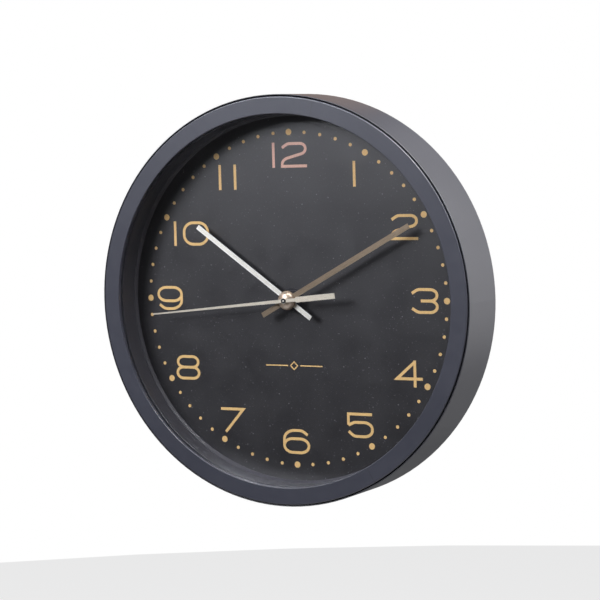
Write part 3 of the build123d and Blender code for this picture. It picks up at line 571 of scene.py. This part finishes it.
# ---------------------------------------------------------------- the dial's print
class Numeral:
    """Strokes of one digit in a box, given by the box's outer edges in millimetres on the dial.

    Each corner of a stroke is x, z and a radius. Most corners are wider than high.
    """

    WIDE = 1.38
    ZERO_WIDE = 1.15

    def __init__(self, pen, left, right, low, high):
        self.pen = pen
        self.edges = (left + HALF_STROKE, right - HALF_STROKE, low + HALF_STROKE, high - HALF_STROKE)

    def draw(self, corners, closed=False, wide=WIDE):
        self.pen.stroke(corners, closed, wide=wide)

    def one(self):
        left, right, low, high = self.edges
        x = (left + right) / 2
        self.draw([(x, low - HALF_STROKE, 0), (x, high + HALF_STROKE, 0)])

    def zero(self):
        left, right, low, high = self.edges
        box = [(left, low), (right, low), (right, high), (left, high)]
        self.draw([(x, z, 5.8) for x, z in box], closed=True, wide=self.ZERO_WIDE)

    def two(self):
        left, right, low, high = self.edges
        hook = [(left + 0.1, high - 2.4, 0), (left + 3.9, high, 3.0), (right, high, 2.9)]
        sweep = [(right, high - 5.6, 3.2), (left, low + 4.0, 4.0)]
        foot = [(left, low, 0), (right + HALF_STROKE, low, 0)]
        self.draw(hook + sweep + foot)

    def three(self):
        left, right, low, high = self.edges
        middle = (low + high) / 2
        for edge, side in ((high, 1), (low, -1)):
            hook = [(left + 0.1, edge - 2.3 * side, 0), (left + 3.9, edge, 3.0)]
            self.draw(hook + [(right, edge, 3.3), (right, middle, 3.3), (left + 5.8, middle, 0)])

    def four(self):
        left, right, low, high = self.edges
        stem, bar = right - 4.1, low + 4.2
        self.draw([(stem, low - HALF_STROKE, 0), (stem, high + HALF_STROKE, 0)])
        self.draw([(stem, high, 0), (left + 1.9, bar, 0), (right + HALF_STROKE, bar, 0)])

    def five(self):
        left, right, low, high = self.edges
        stem, waist = left + 0.2, high - 5.0
        self.draw([(right, high, 0), (stem, high, 0), (stem, waist - 1.6, 0)])
        bowl = [(left + 4.2, waist, 2.4), (right, waist, 3.9), (right, low, 3.9)]
        tail = [(left + 3.8, low, 3.0), (left + 0.3, low + 3.0, 0)]
        self.draw([(stem, waist - 1.8, 0)] + bowl + tail)

    def nine(self, flip=1):
        """A nine, or with flip -1 the same glyph turned half round as a six."""
        left, right, low, high = self.edges
        cx, cz = (left + right) / 2, (low + high) / 2

        def spot(x, z, radius):
            return (cx + flip * (x - cx), cz + flip * (z - cz), radius)

        bowl = high - 8.5
        bowl_corners = [(left, bowl), (right, bowl), (right, high), (left, high)]
        self.draw([spot(x, z, 4.2) for x, z in bowl_corners], closed=True)
        stem = [(right, high - 4.2, 0), (right, low, 5.4)]
        hook = [(left + 4.4, low, 3.6), (left + 0.7, low + 2.6, 0)]
        self.draw([spot(*corner) for corner in stem + hook])

    def seven(self):
        left, right, low, high = self.edges
        self.draw([(left - HALF_STROKE, high, 0), (right - 1.1, high, 0), (left + 2.3, low - HALF_STROKE, 0)])

    def eight(self):
        left, right, low, high = self.edges
        waist = low + 7.0
        for bottom, top, inset in ((waist, high, 0.4), (low, waist, 0.0)):
            a, b = left + inset, right - inset
            self.draw([(a, bottom, 3.2), (b, bottom, 3.2), (b, top, 3.2), (a, top, 3.2)], closed=True)


def print_numerals():
    """The twelve in rose and the other numerals in gold, clockwise from one."""
    twelve = Print()
    Numeral(twelve, -11.7, -9.9, 80.3, 95.6).one()
    Numeral(twelve, -5.8, 12.0, 80.2, 95.6).two()
    twelve.build("numeral_twelve", "rose")
    gold = Print()
    Numeral(gold, 42.6, 44.4, 68.0, 83.3).one()
    Numeral(gold, 66.4, 84.3, 35.9, 51.3).two()
    Numeral(gold, 78.4, 96.4, -7.7, 7.6).three()
    Numeral(gold, 65.8, 85.2, -51.6, -35.5).four()
    Numeral(gold, 34.5, 52.3, -83.4, -68.1).five()
    Numeral(gold, -9.5, 9.1, -95.2, -79.8).nine(flip=-1)
    Numeral(gold, -53.0, -35.1, -83.5, -68.1).seven()
    Numeral(gold, -84.5, -67.3, -51.5, -36.0).eight()
    Numeral(gold, -96.9, -78.3, -7.6, 7.6).nine()
    Numeral(gold, -83.2, -81.4, 32.9, 48.3).one()
    Numeral(gold, -76.7, -57.8, 33.0, 48.2).zero()
    Numeral(gold, -49.7, -47.9, 67.4, 82.9).one()
    Numeral(gold, -39.0, -37.2, 67.4, 82.9).one()
    gold.build("numerals_gold", "gold")


def print_dots():
    """A dot for every minute, larger at the hours."""
    dots = Print()
    for minute in range(60):
        turn = radians(6 * minute)
        radius = SMALL_DOT_R if minute % 5 else LARGE_DOT_R
        dots.disc(DOT_RING_R * sin(turn), DOT_RING_R * cos(turn), radius)
    dots.build("minute_dots", "gold")


def print_ornament():
    """A plain rule broken by a lozenge."""
    mark = Print()
    x, z, half = ORNAMENT_X, ORNAMENT_Z, LOZENGE_HALF
    for side in (-1, 1):
        rule = [(x + side * ORNAMENT_GAP, z, 0), (x + side * ORNAMENT_HALF, z, 0)]
        mark.stroke(rule, width=ORNAMENT_STROKE)
    lozenge = [(x - half, z, 0), (x, z + half, 0), (x + half, z, 0), (x, z - half, 0)]
    mark.stroke(lozenge, closed=True, width=ORNAMENT_STROKE)
    mark.build("dial_ornament", "gold")


print_numerals()
print_dots()
print_ornament()


# ---------------------------------------------------------------- stage
def make_floor():
    """A pale floor far below, with a glow that the camera sees and that doesn't light the clock."""
    look = Look("pale_floor", Base_Color=(0.8, 0.8, 0.8, 1), Roughness=0.8, Emission_Color=(1, 1, 1, 1))
    path = look.node("ShaderNodeLightPath")
    look.feed("Emission Strength", look.math("MULTIPLY", path.outputs["Is Camera Ray"], FLOOR_GLOW))
    look.bump(look.noise(0.01, 3), 0.2)
    place = (0, 0, FLOOR_Z)
    bpy.ops.mesh.primitive_circle_add(vertices=64, radius=FLOOR_RADIUS, fill_type="NGON", location=place)
    floor = bpy.context.object
    floor.name = "floor"
    paint(floor, look.material)


def area_light(name, place, size, watts, colour):
    """A soft rectangular light aimed at the clock and unseen by the camera."""
    data = bpy.data.lights.new(name, "AREA")
    data.shape = "RECTANGLE"
    data.size, data.size_y = size
    data.energy = watts
    data.color = colour
    light = bpy.data.objects.new(name, data)
    aim = (-Vector(place)).to_track_quat("-Z", "Y")
    light.matrix_world = Matrix.Translation(place) @ aim.to_matrix().to_4x4()
    light.visible_camera = False
    bpy.context.scene.collection.objects.link(light)


def make_world():
    """White where the camera looks past the clock, and a faint light all round."""
    world = bpy.data.worlds.new("studio")
    world.use_nodes = True
    tree = world.node_tree
    tree.nodes.clear()
    path = tree.nodes.new("ShaderNodeLightPath")
    seen = tree.nodes.new("ShaderNodeBackground")
    seen.inputs["Color"].default_value = (1, 1, 1, 1)
    room = tree.nodes.new("ShaderNodeBackground")
    room.inputs["Color"].default_value = ROOM_COLOUR
    room.inputs["Strength"].default_value = ROOM_STRENGTH
    mix = tree.nodes.new("ShaderNodeMixShader")
    out = tree.nodes.new("ShaderNodeOutputWorld")
    tree.links.new(path.outputs["Is Camera Ray"], mix.inputs["Fac"])
    tree.links.new(room.outputs["Background"], mix.inputs[1])
    tree.links.new(seen.outputs["Background"], mix.inputs[2])
    tree.links.new(mix.outputs["Shader"], out.inputs["Surface"])
    bpy.context.scene.world = world


# Each light: its name, place and size in metres, watts and colour
RIG = (
    ("main_softbox", (-0.75, -1.35, 0.75), (0.75, 0.75), 28.5, (0.92, 0.94, 1.0)),
    ("top_near", (0.15, -0.4, 0.8), (0.4, 0.4), 5.4, (0.94, 0.97, 1.0)),
    ("top_flat", (0.42, -0.15, 0.73), (0.4, 0.3), 9.5, (1.0, 0.99, 0.97)),
    ("right_panel", (1.2, 0.7, 0.2), (1.6, 1.6), 14.5, (1.0, 1.0, 1.0)),
    ("upper_right_back", (0.9, 0.5, 0.85), (0.8, 0.8), 24.0, (1.0, 1.0, 1.0)),
    ("high_back_card", (0.05, 1.5, 0.75), (0.5, 0.5), 0.25, (1.0, 1.0, 1.0)),
    ("low_back_card", (0.5, 1.5, -0.35), (0.9, 1.2), 1.0, (1.0, 1.0, 1.0)),
    ("warm_back_card", (-0.55, 1.1, 0.5), (0.5, 0.4), 0.3, (1.0, 0.58, 0.32)),
)


make_floor()
make_world()
for light in RIG:
    area_light(*light)
bpy.context.scene.view_settings.view_transform = "Standard"
